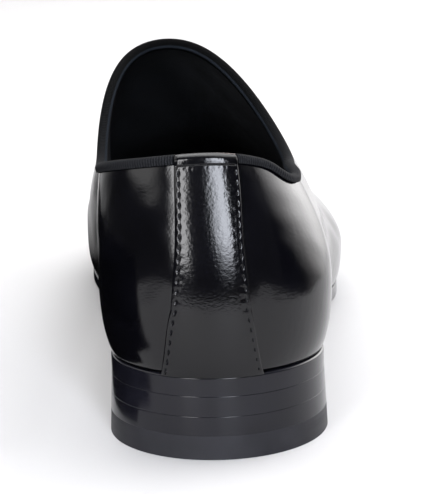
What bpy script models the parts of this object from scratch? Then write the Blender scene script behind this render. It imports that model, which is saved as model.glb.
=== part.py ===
# Slip-on loafer for the right foot, built on a last worked out from a short table of sections.
# Sizes are millimetres until a point becomes a vertex. Shoe frame while building: back of the
# heel at y = 0, toe towards +Y, outer (lateral) side towards +X, floor at z = 0.

import bisect
import math

import bmesh
import bpy
import numpy as np

MM = 0.001

# Driving sizes of the shoe
LENGTH = 300.0          # back of the heel to the tip of the toe
HEEL_CENTRE = 37.0      # centre of the heel's round, from its back
HEEL_RADIUS = 36.0      # radius that turns a station behind the centre into an angle
WALL = 2.0              # upper leather with its lining
GAP = 0.3               # clearance between neighbouring pieces
UNDERCUT = math.radians(65.0)   # how far the wall turns in below its widest line

# Toe rounding: station where it starts, and the power of its curve
TOE_PLAN = (200.0, 2.6)
TOE_SIDE = (210.0, 2.8)

# Collar and throat
APEX = 120.6            # station of the throat's highest point, on the ridge of the instep

# Heel strip over the back seam, with a tab turned over the topline
STRIP_THICK = 1.2
TAB_RISE = 2.2          # middle of the strip over the upper's edge
TAB_LEG = 9.0           # length of the tab inside the shoe

# Ribbon binding of the topline
RIBBON_THICK = 0.7
RIBBON_GAP = 0.45       # clear of the facets of the round throat
RIBBON_TOP = 1.6        # middle of the fold over the upper's edge
RIBBON_SHOULDER = 0.7   # depth of the fold's round
RIBBON_CORNER = 0.45    # inset of the fold's round
RIBBON_OUTER_LEG = 1.6
RIBBON_INNER_LEG = 2.2
RIBBON_END_GAP = 0.9    # from the end of the ribbon to the strip that widens beside it
RIBBON_END_REACH = 0.12     # share of the ribbon over which it turns square to the strip

# Sole, heel and insole
SOLE_LEDGE = 0.8        # sole edge outside the upper's lower edge
SOLE_LOWER_BREAK = 1.0  # broken lower corner of the sole edge
SOLE_UPPER_BREAK = 0.5
HEEL_FLARE = 0.7        # growth of the heel from its seat to the floor
BREAST = 78.0           # front of the heel
BREAST_SAG = 5.0        # hollow of the heel's front face
TOP_PIECE_SHARE = 0.38  # rubber top piece's share of the heel's height
LIFT_SHARE = 0.31       # each leather lift's share
INSOLE_THICK = 2.6
INSOLE_INSET = WALL + 2 * GAP

# Stations count along the foot; behind the heel's centre they run round the heel to its back.
BACK = HEEL_CENTRE - HEEL_RADIUS * math.pi / 2

# Sections of the last. lateral and medial are the lower edge's two sides, over_ is how far the
# widest line stands outside them, widest its height above the lower edge, ridge_x and top the
# highest line, feather the lower edge's height, pinch_ how much each side is drawn in.
SECTION_COLUMNS = ("station", "lateral", "medial", "over_lateral", "over_medial", "widest",
                   "ridge_x", "top", "feather", "pinch_lateral", "pinch_medial")
SECTIONS = (
    (BACK, 34.2, -34.2, 2.8, 2.8, 21.0, -3.1, 90.0, 26.0, 0.00, 0.00),
    (8.7, 33.9, -33.9, 3.0, 3.0, 21.0, -6.7, 90.0, 26.0, 0.00, 0.00),
    (37.0, 33.0, -32.6, 3.4, 3.6, 21.5, -9.8, 90.4, 25.5, 0.07, 0.06),
    (70.0, 32.0, -30.5, 4.4, 5.6, 23.0, -12.1, 92.3, 23.6, 0.10, 0.04),
    (110.0, 34.0, -28.5, 4.6, 8.0, 23.0, -13.6, 96.2, 17.6, 0.08, 0.05),
    (150.0, 39.5, -32.0, 3.8, 7.0, 20.0, -17.5, 84.5, 10.2, 0.10, 0.06),
    (180.0, 46.5, -42.2, 2.8, 4.6, 16.5, -14.0, 65.0, 6.4, 0.02, 0.00),
    (205.0, 48.3, -47.9, 2.4, 2.8, 14.0, -11.0, 54.0, 5.2, -0.02, -0.02),
    (225.0, 48.1, -51.6, 2.2, 2.2, 13.0, -9.5, 47.0, 5.3, -0.03, -0.03),
    (250.0, 46.0, -51.5, 2.0, 2.0, 12.0, -9.0, 40.5, 7.3, -0.04, -0.04),
    (LENGTH, 38.0, -48.0, 2.0, 1.8, 11.0, -9.0, 32.0, 14.5, -0.04, -0.04),
)

# Height of the collar's edge; at APEX both sides meet on the ridge.
COLLAR_COLUMNS = ("station", "lateral", "medial")
COLLAR = (
    (BACK, 90.7, 90.7),
    (2.0, 88.2, 88.65),
    (8.7, 85.7, 87.5),
    (14.0, 82.5, 86.55),
    (20.0, 80.5, 85.45),
    (34.0, 80.2, 82.85),
    (58.0, 78.2, 78.6),
    (78.0, 78.6, 78.6),
    (100.0, 92.0, 94.8),
)

# Edges of the heel strip, each away from the back seam. climb runs from the upper's lower edge at 0
# to the collar at 1; the first row carries the edges on below.
STRIP_COLUMNS = ("climb", "lateral", "medial")
STRIP_EDGES = (
    (-0.3, 17.0, 20.6),
    (0.0, 14.8, 18.3),
    (0.35, 12.0, 15.3),
    (0.65, 9.9, 12.6),
    (0.8, 9.5, 10.7),
    (0.9, 10.9, 10.35),
    (1.0, 12.4, 10.4),
)

# Thickness of the outsole along the foot
SOLE_COLUMNS = ("station", "thick")
SOLE = (
    (BACK, 6.2),
    (BREAST, 6.0),
    (130.0, 5.3),
    (212.0, 5.6),
    (LENGTH, 5.0),
)

# Facets of each piece
UPPER_COLLAR_STEPS = 28     # also the steps of the ribbon, whose facets lie along the upper's
UPPER_RIDGE_STEPS = 18
UPPER_LOW_ROWS = 3          # below the widest line
UPPER_HIGH_ROWS = 13        # from the widest line to the collar or the ridge
UPPER_FOOT_SPLIT = 148.0    # station on the lower edge below the throat's top
SOLE_STEPS = 48
SOLE_ACROSS = 2
HEEL_STEPS = 18
HEEL_ACROSS = 6
STRIP_STEPS = 8
STRIP_CLIMB_ROWS = 9
STRIP_FOLD_ROWS = 6
STRIP_INSIDE_ROWS = 2

# Middle of the shoe's own box, which becomes the origin above the floor
BOX_MIDDLE = (-1.15, 149.67)

LATERAL = 1
MEDIAL = -1


class Spline:
    """Cubic curve through a table's column, level at its first knot and free at its last."""

    def __init__(self, knots, values):
        self.knots = list(knots)
        self.values = list(values)
        count = len(self.knots)
        matrix = np.zeros((count, count))
        right = np.zeros(count)
        step = np.diff(self.knots)
        slope = np.diff(self.values) / step
        matrix[0, 0] = 2 * step[0]
        matrix[0, 1] = step[0]
        right[0] = 6 * slope[0]
        matrix[-1, -1] = 1.0
        for i in range(1, count - 1):
            matrix[i, i - 1] = step[i - 1]
            matrix[i, i] = 2 * (step[i - 1] + step[i])
            matrix[i, i + 1] = step[i]
            right[i] = 6 * (slope[i] - slope[i - 1])
        self.bends = [float(bend) for bend in np.linalg.solve(matrix, right)]

    def __call__(self, place):
        i = min(max(bisect.bisect_right(self.knots, place) - 1, 0), len(self.knots) - 2)
        step = self.knots[i + 1] - self.knots[i]
        back = (self.knots[i + 1] - place) / step
        ahead = (place - self.knots[i]) / step
        lift = (back ** 3 - back) * self.bends[i] + (ahead ** 3 - ahead) * self.bends[i + 1]
        return back * self.values[i] + ahead * self.values[i + 1] + lift * step * step / 6


def curves(columns, rows):
    """One spline for each named column of a table, over its first column."""
    knots = [row[0] for row in rows]
    return {name: Spline(knots, [row[i] for row in rows])
            for i, name in enumerate(columns) if i > 0}


LAST = curves(SECTION_COLUMNS, SECTIONS)
SOLE_CURVES = curves(SOLE_COLUMNS, SOLE)
STRIP_CURVES = curves(STRIP_COLUMNS, STRIP_EDGES)
APEX_HEIGHT = LAST["feather"](APEX) + LAST["top"](APEX)
COLLAR_CURVES = curves(COLLAR_COLUMNS, COLLAR + ((APEX, APEX_HEIGHT, APEX_HEIGHT),))


def toe_share(station, start, power):
    """How much of its size a section keeps as the toe closes."""
    reach = min(max((station - start) / (LENGTH - start), 0.0), 1.0)
    return math.sqrt(max(1.0 - reach ** power, 0.0))


def last_point(station, turn):
    """Outside of the upper. turn runs from the lateral lower edge over the ridge at 90 degrees
    to the medial lower edge."""
    side = LATERAL if turn <= math.pi / 2 else MEDIAL
    angle = turn if side == LATERAL else math.pi - turn
    station = min(max(station, BACK), LENGTH)
    round_heel = min(max((HEEL_CENTRE - station) / HEEL_RADIUS, 0.0), math.pi / 2)
    plan = toe_share(station, *TOE_PLAN)
    height = toe_share(station, *TOE_SIDE)
    lateral, medial = LAST["lateral"](station), LAST["medial"](station)
    over_lateral, over_medial = LAST["over_lateral"](station), LAST["over_medial"](station)
    middle = (lateral + medial) / 2
    half = (lateral - medial) / 2 * plan
    wide_middle = middle + (over_lateral - over_medial) / 2 * plan
    wide_half = half + (over_lateral + over_medial) / 2 * plan
    widest = LAST["widest"](station) * height
    top = LAST["top"](station) * height
    low = min(max(angle, -UNDERCUT), 0.0)
    high = min(max(angle, 0.0), math.pi / 2)
    under = (1 - math.cos(low)) / (1 - math.cos(UNDERCUT))
    rise = math.sin(high)
    pinch = LAST["pinch_lateral" if side == LATERAL else "pinch_medial"](station)
    lean = (LAST["ridge_x"](station) - wide_middle) * plan * rise * rise * (3 - 2 * rise)
    centre = wide_middle + (middle - wide_middle) * under + lean
    reach = (wide_half + (half - wide_half) * under) * math.cos(high)
    reach *= 1 - pinch * math.sin(2 * high) ** 2
    z = LAST["feather"](station) + widest * (1 + math.sin(low) / math.sin(UNDERCUT))
    z += (top - widest) * rise
    return np.array((centre + side * reach * math.cos(round_heel),
                     max(station, HEEL_CENTRE) - reach * math.sin(round_heel), z))


def side_turn(side, angle):
    """Turn of an angle that is counted up from one side's widest line."""
    return angle if side == LATERAL else math.pi - angle


def collar_angle(station, side):
    """Angle at which a section reaches the collar's edge."""
    name = "lateral" if side == LATERAL else "medial"
    widest, top = LAST["widest"](station), LAST["top"](station)
    rise = (COLLAR_CURVES[name](station) - LAST["feather"](station) - widest) / (top - widest)
    return math.asin(min(max(rise, 0.0), 1.0))


def slopes(station, turn):
    """Directions of the last's surface along the station and along the turn."""
    step = 0.02
    before, after = max(station - step, BACK), min(station + step, LENGTH)
    along = (last_point(after, turn) - last_point(before, turn)) / (after - before)
    swing = 0.002
    around = (last_point(station, turn + swing) - last_point(station, turn - swing)) / (2 * swing)
    return along, around


def outward(station, turn):
    """Unit normal that points out of the shoe."""
    along, around = slopes(station, turn)
    normal = np.cross(along, around)
    return normal / np.linalg.norm(normal)


def wall_point(station, turn, offset):
    """Point offset from the upper's outside, positive outwards."""
    return last_point(station, turn) + outward(station, turn) * offset


def lower_edge(station, side, grow):
    """Lower edge of the upper in plan, grown sideways by an offset."""
    turn = side_turn(side, -UNDERCUT)
    step = 0.02
    before, after = max(station - step, BACK), min(station + step, LENGTH)
    run = last_point(after, turn)[:2] - last_point(before, turn)[:2]
    out = np.array((run[1], -run[0])) * side / np.linalg.norm(run)
    return last_point(station, turn)[:2] + out * grow


def feather(station):
    return LAST["feather"](station)


def sole_top(station):
    return feather(station) - GAP


def sole_bottom(station):
    """Underside of the outsole, flat on the floor under the ball of the foot."""
    return max(sole_top(station) - SOLE_CURVES["thick"](station), 0.0)


def new_object(name, mesh_data, colour, roughness, parent):
    """Object with its own Principled material, under the shoe's root."""
    material = bpy.data.materials.new(name + "_material")
    material.use_nodes = True
    shader = material.node_tree.nodes["Principled BSDF"]
    shader.inputs["Base Color"].default_value = (*colour, 1.0)
    shader.inputs["Roughness"].default_value = roughness
    shader.inputs["Metallic"].default_value = 0.0
    mesh = bpy.data.meshes.new(name)
    mesh_data.to_mesh(mesh)
    mesh_data.free()
    mesh.materials.append(material)
    mesh.shade_smooth()
    mesh.set_sharp_from_angle(angle=math.radians(35.0))
    thing = bpy.data.objects.new(name, mesh)
    bpy.context.scene.collection.objects.link(thing)
    thing.parent = parent
    return thing


def place_all(mesh, place):
    """Move every vertex from its share of the grid to its place, and close seams and poles."""
    for vertex in mesh.verts:
        point = place(vertex.co.x + 0.5, vertex.co.y + 0.5, round(vertex.co.z))
        vertex.co = [float(value) * MM for value in point]
    bmesh.ops.remove_doubles(mesh, verts=mesh.verts, dist=0.02 * MM)


def shaped_sheet(across, along, place):
    """Open sheet placed by place(u, v, 0), with u and v from 0 to 1; it faces u cross v."""
    mesh = bmesh.new()
    bmesh.ops.create_grid(mesh, x_segments=across, y_segments=along, size=0.5)
    place_all(mesh, place)
    return mesh


def shaped_block(across, along, levels, place):
    """Closed block placed by place(u, v, level), with its levels counted from the underside."""
    mesh = bmesh.new()
    bmesh.ops.create_grid(mesh, x_segments=across, y_segments=along, size=0.5)
    region = mesh.faces[:]
    for level in range(1, levels):
        grown = bmesh.ops.extrude_face_region(mesh, geom=region)["geom"]
        if level > 1:
            bmesh.ops.delete(mesh, geom=region, context="FACES")
        verts = [item for item in grown if isinstance(item, bmesh.types.BMVert)]
        region = [item for item in grown if isinstance(item, bmesh.types.BMFace)]
        bmesh.ops.translate(mesh, verts=verts, vec=(0.0, 0.0, 1.0))
    bmesh.ops.recalc_face_normals(mesh, faces=mesh.faces)
    place_all(mesh, place)
    return mesh


def thicken(thing, thickness, offset=0.0):
    """Wall of one thickness, on both sides of the sheet or, with an offset of -1, inside it."""
    wall = thing.modifiers.new("wall", "SOLIDIFY")
    wall.thickness = thickness * MM
    wall.offset = offset
    wall.use_even_offset = True
    wall.use_quality_normals = True


def round_shoe(u):
    """Side, and share of the way from the back of the shoe to its front, of a walk round it."""
    return (LATERAL, 2 * u) if u <= 0.5 else (MEDIAL, 2 * (1 - u))


def collar_place(share, side):
    """Station and turn on the collar; share runs from the back seam to the throat's top."""
    station = BACK + (APEX - BACK) * math.sin(share * math.pi / 2)
    angle = collar_angle(station, side) if share < 1.0 else math.pi / 2
    return station, side_turn(side, angle)


def upper_place(u, v, level):
    """Outside of the upper; u runs round the shoe, v from the lower edge to collar or ridge."""
    side, reach = round_shoe(u)
    split = UPPER_COLLAR_STEPS / (UPPER_COLLAR_STEPS + UPPER_RIDGE_STEPS)
    if reach < split:
        share = reach / split
        foot = BACK + (UPPER_FOOT_SPLIT - BACK) * share
        head, turn = collar_place(share, side)
        angle = side_turn(side, turn)
    else:
        share = math.sin((reach - split) / (1 - split) * math.pi / 2)
        foot = UPPER_FOOT_SPLIT + (LENGTH - UPPER_FOOT_SPLIT) * share
        head = APEX + (LENGTH - APEX) * share
        angle = math.pi / 2
    row = v * (UPPER_LOW_ROWS + UPPER_HIGH_ROWS) - UPPER_LOW_ROWS
    here = UNDERCUT * row / UPPER_LOW_ROWS if row < 0 else angle * row / UPPER_HIGH_ROWS
    station = foot + (head - foot) * (here + UNDERCUT) / (angle + UNDERCUT)
    return last_point(station, side_turn(side, here))


def make_upper(root):
    around = 2 * (UPPER_COLLAR_STEPS + UPPER_RIDGE_STEPS)
    mesh = shaped_sheet(around, UPPER_LOW_ROWS + UPPER_HIGH_ROWS, upper_place)
    upper = new_object("upper", mesh, (0.012, 0.012, 0.014), 0.12, root)
    thicken(upper, WALL, offset=-1.0)


def strip_place(u, v, level):
    """Middle of the heel strip: up the back, over the topline and down inside."""
    row = v * (STRIP_CLIMB_ROWS + STRIP_FOLD_ROWS + STRIP_INSIDE_ROWS)
    climb = min(row / STRIP_CLIMB_ROWS, 1.0)
    lateral, medial = STRIP_CURVES["lateral"](climb), STRIP_CURVES["medial"](climb)
    aside = (lateral + medial) * u - medial
    side = LATERAL if aside >= 0 else MEDIAL
    station = BACK + abs(aside)
    collar = collar_angle(station, side)
    out = GAP + STRIP_THICK / 2
    if row <= STRIP_CLIMB_ROWS:
        angle = -UNDERCUT + (collar + UNDERCUT) * climb
        return wall_point(station, side_turn(side, angle), out)
    turn = side_turn(side, collar)
    around = slopes(station, turn)[1]
    folded = (row - STRIP_CLIMB_ROWS) / STRIP_FOLD_ROWS
    if folded <= 1.0:
        up = around * side / np.linalg.norm(around)
        bend = folded * math.pi
        across = (WALL / 2 + out) * math.cos(bend) - WALL / 2
        return wall_point(station, turn, across) + up * TAB_RISE * math.sin(bend)
    depth = TAB_LEG * (row - STRIP_CLIMB_ROWS - STRIP_FOLD_ROWS) / STRIP_INSIDE_ROWS
    inner = collar - depth / np.linalg.norm(around)
    return wall_point(station, side_turn(side, inner), -WALL - out)


def make_heel_strip(root):
    rows = STRIP_CLIMB_ROWS + STRIP_FOLD_ROWS + STRIP_INSIDE_ROWS
    mesh = shaped_sheet(STRIP_STEPS, rows, strip_place)
    strip = new_object("heel_strip", mesh, (0.012, 0.012, 0.014), 0.12, root)
    thicken(strip, STRIP_THICK)


def ribbon_profile():
    """Folded ribbon's middle line: out of the wall, and up from its edge or down along it."""
    out = RIBBON_GAP + RIBBON_THICK / 2
    inside = -WALL - out
    shoulder = RIBBON_TOP - RIBBON_SHOULDER
    return ((out, -RIBBON_OUTER_LEG), (out, -RIBBON_OUTER_LEG / 2), (out, shoulder),
            (out - RIBBON_CORNER, RIBBON_TOP), (-WALL / 2, RIBBON_TOP),
            (inside + RIBBON_CORNER, RIBBON_TOP), (inside, shoulder),
            (inside, -RIBBON_INNER_LEG / 2), (inside, -RIBBON_INNER_LEG))


def collar_run(share, side):
    """Direction of the collar, from the lateral back over the throat to the medial back."""
    nudge = 0.003
    before = last_point(*collar_place(share - nudge, side))
    if share < 1.0:
        return (last_point(*collar_place(min(share + nudge, 1.0), side)) - before) * side
    return (last_point(*collar_place(share - nudge, -side)) - before) * side


def ribbon_place(u, v, level):
    """Middle of the ribbon; u runs along the collar from strip to strip, v across the ribbon."""
    profile = ribbon_profile()
    out, up = profile[round(v * (len(profile) - 1))]
    side, reach = round_shoe(u)
    strip_edge = STRIP_CURVES["lateral" if side == LATERAL else "medial"](1.0)
    first = math.asin((strip_edge + RIBBON_END_GAP) / (APEX - BACK)) / (math.pi / 2)
    step = 1 / UPPER_COLLAR_STEPS
    share = max(step + (1 - step) * reach, first)
    station, turn = collar_place(share, side)
    away = np.cross(outward(station, turn), collar_run(share, side))
    away /= np.linalg.norm(away)
    surface = np.column_stack(slopes(station, turn))
    upright = surface[:, 1] * side / np.linalg.norm(surface[:, 1])
    away += (upright - away) * max(1 - reach / RIBBON_END_REACH, 0.0)
    if up >= 0.0:
        return wall_point(station, turn, out) + away * up
    move = np.linalg.lstsq(surface, away * up, rcond=None)[0]
    return wall_point(station + move[0], turn + move[1], out)


def make_collar_binding(root):
    mesh = shaped_sheet(2 * (UPPER_COLLAR_STEPS - 1), len(ribbon_profile()) - 1, ribbon_place)
    ribbon = new_object("collar_binding", mesh, (0.03, 0.031, 0.034), 0.6, root)
    thicken(ribbon, RIBBON_THICK)


def foot_station(share):
    """Station along the whole foot, closer together towards the toe."""
    if share <= 0.5:
        return BACK + (UPPER_FOOT_SPLIT - BACK) * 2 * share
    return UPPER_FOOT_SPLIT + (LENGTH - UPPER_FOOT_SPLIT) * math.sin((2 * share - 1) * math.pi / 2)


def across_foot(station, share, grow):
    """Point in plan on the line from the medial edge to the lateral edge."""
    medial = lower_edge(station, MEDIAL, grow)
    return medial + (lower_edge(station, LATERAL, grow) - medial) * share


def sole_place(u, v, level):
    """Outsole with its lower and upper corners broken."""
    station = foot_station(v)
    low, high = sole_bottom(station), sole_top(station)
    inset = (SOLE_LOWER_BREAK, 0.0, 0.0, SOLE_UPPER_BREAK)[level]
    z = (low, low + SOLE_LOWER_BREAK, high - SOLE_UPPER_BREAK, high)[level]
    return (*across_foot(station, u, SOLE_LEDGE - inset), z)


def make_outsole(root):
    mesh = shaped_block(SOLE_ACROSS, SOLE_STEPS, 4, sole_place)
    new_object("outsole", mesh, (0.03, 0.03, 0.032), 0.35, root)


def insole_place(u, v, level):
    station = foot_station(v)
    return (*across_foot(station, u, -INSOLE_INSET), feather(station) + level * INSOLE_THICK)


def make_insole(root):
    mesh = shaped_block(SOLE_ACROSS, SOLE_STEPS, 2, insole_place)
    new_object("insole", mesh, (0.01, 0.01, 0.012), 0.8, root)


def heel_place(low_share, high_share):
    """Placing function of one layer of the heel, between two shares of the heel's height."""
    def place(u, v, level):
        station = BACK + (BREAST - BACK) * v
        seat = sole_bottom(station) - GAP
        joint = GAP if high_share < 1.0 else 0.0
        z = (seat * low_share, seat * high_share - joint)[level]
        flare = HEEL_FLARE * (1 - z / seat)
        x, y = across_foot(station, u, SOLE_LEDGE + flare)
        hollow = BREAST_SAG * 4 * u * (1 - u) * max(station / BREAST, 0.0) ** 8
        return x, y - hollow, z
    return place


def make_heel(root):
    layers = (
        ("top_piece", 0.0, TOP_PIECE_SHARE, (0.028, 0.028, 0.03), 0.5),
        ("heel_lift_lower", TOP_PIECE_SHARE, TOP_PIECE_SHARE + LIFT_SHARE, (0.03, 0.03, 0.032), 0.35),
        ("heel_lift_upper", TOP_PIECE_SHARE + LIFT_SHARE, 1.0, (0.03, 0.03, 0.032), 0.35),
    )
    for name, low, high, colour, roughness in layers:
        mesh = shaped_block(HEEL_ACROSS, HEEL_STEPS, 2, heel_place(low, high))
        new_object(name, mesh, colour, roughness, root)


def main():
    for thing in list(bpy.data.objects):
        bpy.data.objects.remove(thing, do_unlink=True)
    root = bpy.data.objects.new("shoe", None)
    bpy.context.scene.collection.objects.link(root)
    root.location = (-BOX_MIDDLE[0] * MM, -BOX_MIDDLE[1] * MM, 0.0)
    make_upper(root)
    make_heel_strip(root)
    make_collar_binding(root)
    make_insole(root)
    make_outsole(root)
    make_heel(root)


main()
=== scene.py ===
# Looks of a slip-on loafer for the right foot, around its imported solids.
# Pieces are in millimetres in the shoe's own frame: back of the heel at y = 0, toe at +Y, outer side +X.
# Floor, cards, lights and camera are in metres in the frame of the solids.
import math

import bmesh
import bpy
import numpy as np
from mathutils import Matrix, Quaternion, Vector


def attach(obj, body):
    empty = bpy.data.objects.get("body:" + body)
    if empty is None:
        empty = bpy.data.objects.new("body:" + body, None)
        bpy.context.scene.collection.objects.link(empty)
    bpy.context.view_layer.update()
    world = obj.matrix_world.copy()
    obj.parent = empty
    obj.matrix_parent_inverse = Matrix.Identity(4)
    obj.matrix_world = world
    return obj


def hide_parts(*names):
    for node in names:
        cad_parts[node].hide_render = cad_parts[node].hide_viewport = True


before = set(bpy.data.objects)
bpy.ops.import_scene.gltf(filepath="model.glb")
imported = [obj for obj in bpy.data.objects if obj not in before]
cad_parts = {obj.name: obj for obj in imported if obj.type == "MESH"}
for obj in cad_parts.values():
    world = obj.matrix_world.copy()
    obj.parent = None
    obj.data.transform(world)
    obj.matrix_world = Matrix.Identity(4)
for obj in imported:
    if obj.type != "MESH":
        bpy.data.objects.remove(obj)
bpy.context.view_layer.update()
print("frame loaded:", len(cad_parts), "solids")

mm = 0.001
weld = 0.01 * mm            # points nearer than this become one
noiseSpan = (0.3, 0.7)      # nearly all values of a noise lie between these
shoe = dict(
    length=300.0,
    heelCentre=37.0,        # centre of the heel's round
    heelRadius=36.0,        # turns a station behind that centre into an angle
    undercut=math.radians(65.0),
    toePlan=(200.0, 2.6),   # where the toe starts to close, and its power
    toeSide=(210.0, 2.8),
    wall=2.0,
    gap=0.3,
    apex=120.6,             # station of the throat's top
    footSplit=148.0,        # station on the lower edge below the throat's top
    middle=(-1.15, 149.67), # becomes the origin
)
back = shoe["heelCentre"] - shoe["heelRadius"] * math.pi / 2
lateral, medial = 1.0, -1.0

# station, lateral, medial, over lateral, over medial, widest, ridge x, top, feather, two pinches
sections = (
    (back, 34.2, -34.2, 2.8, 2.8, 21.0, -3.1, 90.0, 26.0, 0.00, 0.00),
    (8.7, 33.9, -33.9, 3.0, 3.0, 21.0, -6.7, 90.0, 26.0, 0.00, 0.00),
    (37.0, 33.0, -32.6, 3.4, 3.6, 21.5, -9.8, 90.4, 25.5, 0.07, 0.06),
    (70.0, 32.0, -30.5, 4.4, 5.6, 23.0, -12.1, 92.3, 23.6, 0.10, 0.04),
    (110.0, 34.0, -28.5, 4.6, 8.0, 23.0, -13.6, 96.2, 17.6, 0.08, 0.05),
    (150.0, 39.5, -32.0, 3.8, 7.0, 20.0, -17.5, 84.5, 10.2, 0.10, 0.06),
    (180.0, 46.5, -42.2, 2.8, 4.6, 16.5, -14.0, 65.0, 6.4, 0.02, 0.00),
    (205.0, 48.3, -47.9, 2.4, 2.8, 14.0, -11.0, 54.0, 5.2, -0.02, -0.02),
    (225.0, 48.1, -51.6, 2.2, 2.2, 13.0, -9.5, 47.0, 5.3, -0.03, -0.03),
    (250.0, 46.0, -51.5, 2.0, 2.0, 12.0, -9.0, 40.5, 7.3, -0.04, -0.04),
    (300.0, 38.0, -48.0, 2.0, 1.8, 11.0, -9.0, 32.0, 14.5, -0.04, -0.04),
)
# station, height of the collar's edge on the lateral and medial side
collar = (
    (back, 90.7, 90.7), (2.0, 88.2, 88.65), (8.7, 85.7, 87.5), (14.0, 82.5, 86.55), (20.0, 80.5, 85.45),
    (34.0, 80.2, 82.85), (58.0, 78.2, 78.6), (78.0, 78.6, 78.6), (100.0, 92.0, 94.8),
)
# station, thickness of the outsole
soleThickness = ((back, 6.2), (78.0, 6.0), (130.0, 5.3), (212.0, 5.6), (300.0, 5.0))


def columnCurve(rows, column):
    # cubic curve through one column, level at its first knot and free at its last
    knots = np.array([row[0] for row in rows])
    values = np.array([row[column] for row in rows])
    count, step = len(knots), np.diff(knots)
    slope = np.diff(values) / step
    matrix, right = np.zeros((count, count)), np.zeros(count)
    matrix[0, :2] = 2 * step[0], step[0]
    right[0] = 6 * slope[0]
    matrix[-1, -1] = 1.0
    for i in range(1, count - 1):
        matrix[i, i - 1:i + 2] = step[i - 1], 2 * (step[i - 1] + step[i]), step[i]
        right[i] = 6 * (slope[i] - slope[i - 1])
    bends = np.linalg.solve(matrix, right)

    def curve(place):
        i = np.clip(np.searchsorted(knots, place, side="right") - 1, 0, count - 2)
        behind, ahead = (knots[i + 1] - place) / step[i], (place - knots[i]) / step[i]
        lift = (behind ** 3 - behind) * bends[i] + (ahead ** 3 - ahead) * bends[i + 1]
        return behind * values[i] + ahead * values[i + 1] + lift * step[i] ** 2 / 6
    return curve


(lateralEdge, medialEdge, overLateral, overMedial, widestLine, ridgeX, topLine, featherLine,
 pinchLateral, pinchMedial) = [columnCurve(sections, i) for i in range(1, 11)]
apexHeight = float(featherLine(shoe["apex"]) + topLine(shoe["apex"]))
collarLateral, collarMedial = [
    columnCurve(collar + ((shoe["apex"], apexHeight, apexHeight),), i) for i in (1, 2)]
soleThick = columnCurve(soleThickness, 1)


def toeShare(station, start, power):
    reach = np.clip((station - start) / (shoe["length"] - start), 0.0, 1.0)
    return np.sqrt(np.maximum(1.0 - reach ** power, 0.0))


def lastPoints(station, turn):
    # outside of the upper; turn runs from the lateral lower edge over the ridge to the medial one
    station, turn = np.broadcast_arrays(np.clip(station, back, shoe["length"]), turn)
    side = np.where(turn <= math.pi / 2, lateral, medial)
    angle = np.where(side > 0, turn, math.pi - turn)
    roundHeel = np.clip((shoe["heelCentre"] - station) / shoe["heelRadius"], 0.0, math.pi / 2)
    plan, height = toeShare(station, *shoe["toePlan"]), toeShare(station, *shoe["toeSide"])
    outer, inner = lateralEdge(station), medialEdge(station)
    overOuter, overInner = overLateral(station), overMedial(station)
    middle, half = (outer + inner) / 2, (outer - inner) / 2 * plan
    wideMiddle = middle + (overOuter - overInner) / 2 * plan
    wideHalf = half + (overOuter + overInner) / 2 * plan
    widest, top = widestLine(station) * height, topLine(station) * height
    low = np.clip(angle, -shoe["undercut"], 0.0)
    high = np.clip(angle, 0.0, math.pi / 2)
    under = (1 - np.cos(low)) / (1 - math.cos(shoe["undercut"]))
    rise = np.sin(high)
    pinch = np.where(side > 0, pinchLateral(station), pinchMedial(station))
    lean = (ridgeX(station) - wideMiddle) * plan * rise * rise * (3 - 2 * rise)
    centre = wideMiddle + (middle - wideMiddle) * under + lean
    reach = (wideHalf + (half - wideHalf) * under) * np.cos(high)
    reach = reach * (1 - pinch * np.sin(2 * high) ** 2)
    z = featherLine(station) + widest * (1 + np.sin(low) / math.sin(shoe["undercut"]))
    z = z + (top - widest) * rise
    return np.stack((centre + side * reach * np.cos(roundHeel),
                     np.maximum(station, shoe["heelCentre"]) - reach * np.sin(roundHeel), z), -1)


def unit(vectors):
    return vectors / np.maximum(np.linalg.norm(vectors, axis=-1, keepdims=True), 1e-9)


def stationsBeside(station):
    step = 0.02
    return np.maximum(station - step, back), np.minimum(station + step, shoe["length"])


def surfaceSlopes(station, turn):
    swing = 0.002
    before, after = stationsBeside(station)
    along = (lastPoints(after, turn) - lastPoints(before, turn)) / (after - before)[..., None]
    around = (lastPoints(station, turn + swing) - lastPoints(station, turn - swing)) / (2 * swing)
    return along, around


def outwardNormals(station, turn):
    return unit(np.cross(*surfaceSlopes(station, turn)))


def wallPoints(station, turn, offset):
    return lastPoints(station, turn) + outwardNormals(station, turn) * np.asarray(offset)[..., None]


def sideTurn(side, angle):
    return np.where(side > 0, angle, math.pi - angle)


def collarAngle(station, side):
    edge = np.where(side > 0, collarLateral(station), collarMedial(station))
    widest = widestLine(station)
    rise = (edge - featherLine(station) - widest) / (topLine(station) - widest)
    return np.arcsin(np.clip(rise, 0.0, 1.0))


def collarPlace(share, side):
    # station and turn on the collar's edge; share runs from the back seam to the throat's top
    station = back + (shoe["apex"] - back) * np.sin(share * math.pi / 2)
    angle = np.where(share < 1.0, collarAngle(station, side), math.pi / 2)
    return station, sideTurn(side, angle)


def roundShoe(u):
    return np.where(u <= 0.5, lateral, medial), np.where(u <= 0.5, 2 * u, 2 * (1 - u))


def softStep(value, low, high):
    share = np.clip((value - low) / (high - low), 0.0, 1.0)
    return share * share * (3 - 2 * share)


def bump(value, middle, width):
    return np.exp(-((value - middle) / width) ** 2)


# Mesh helpers: a grid from the operator, then every vertex goes to its place on the last
def toRow(points):
    return (points - np.array((*shoe["middle"], 0.0))) * mm


def startGrid(across, along, flatPlace=None):
    # grid of one unit round the origin; flatPlace puts its vertices on the map "cloth"
    mesh = bmesh.new()
    bmesh.ops.create_grid(mesh, x_segments=across, y_segments=along, size=0.5)
    if flatPlace:
        flat = mesh.loops.layers.uv.new("cloth")
        for face in mesh.faces:
            for loop in face.loops:
                loop[flat].uv = flatPlace(loop.vert.co.x + 0.5, loop.vert.co.y + 0.5)
    return mesh


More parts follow.
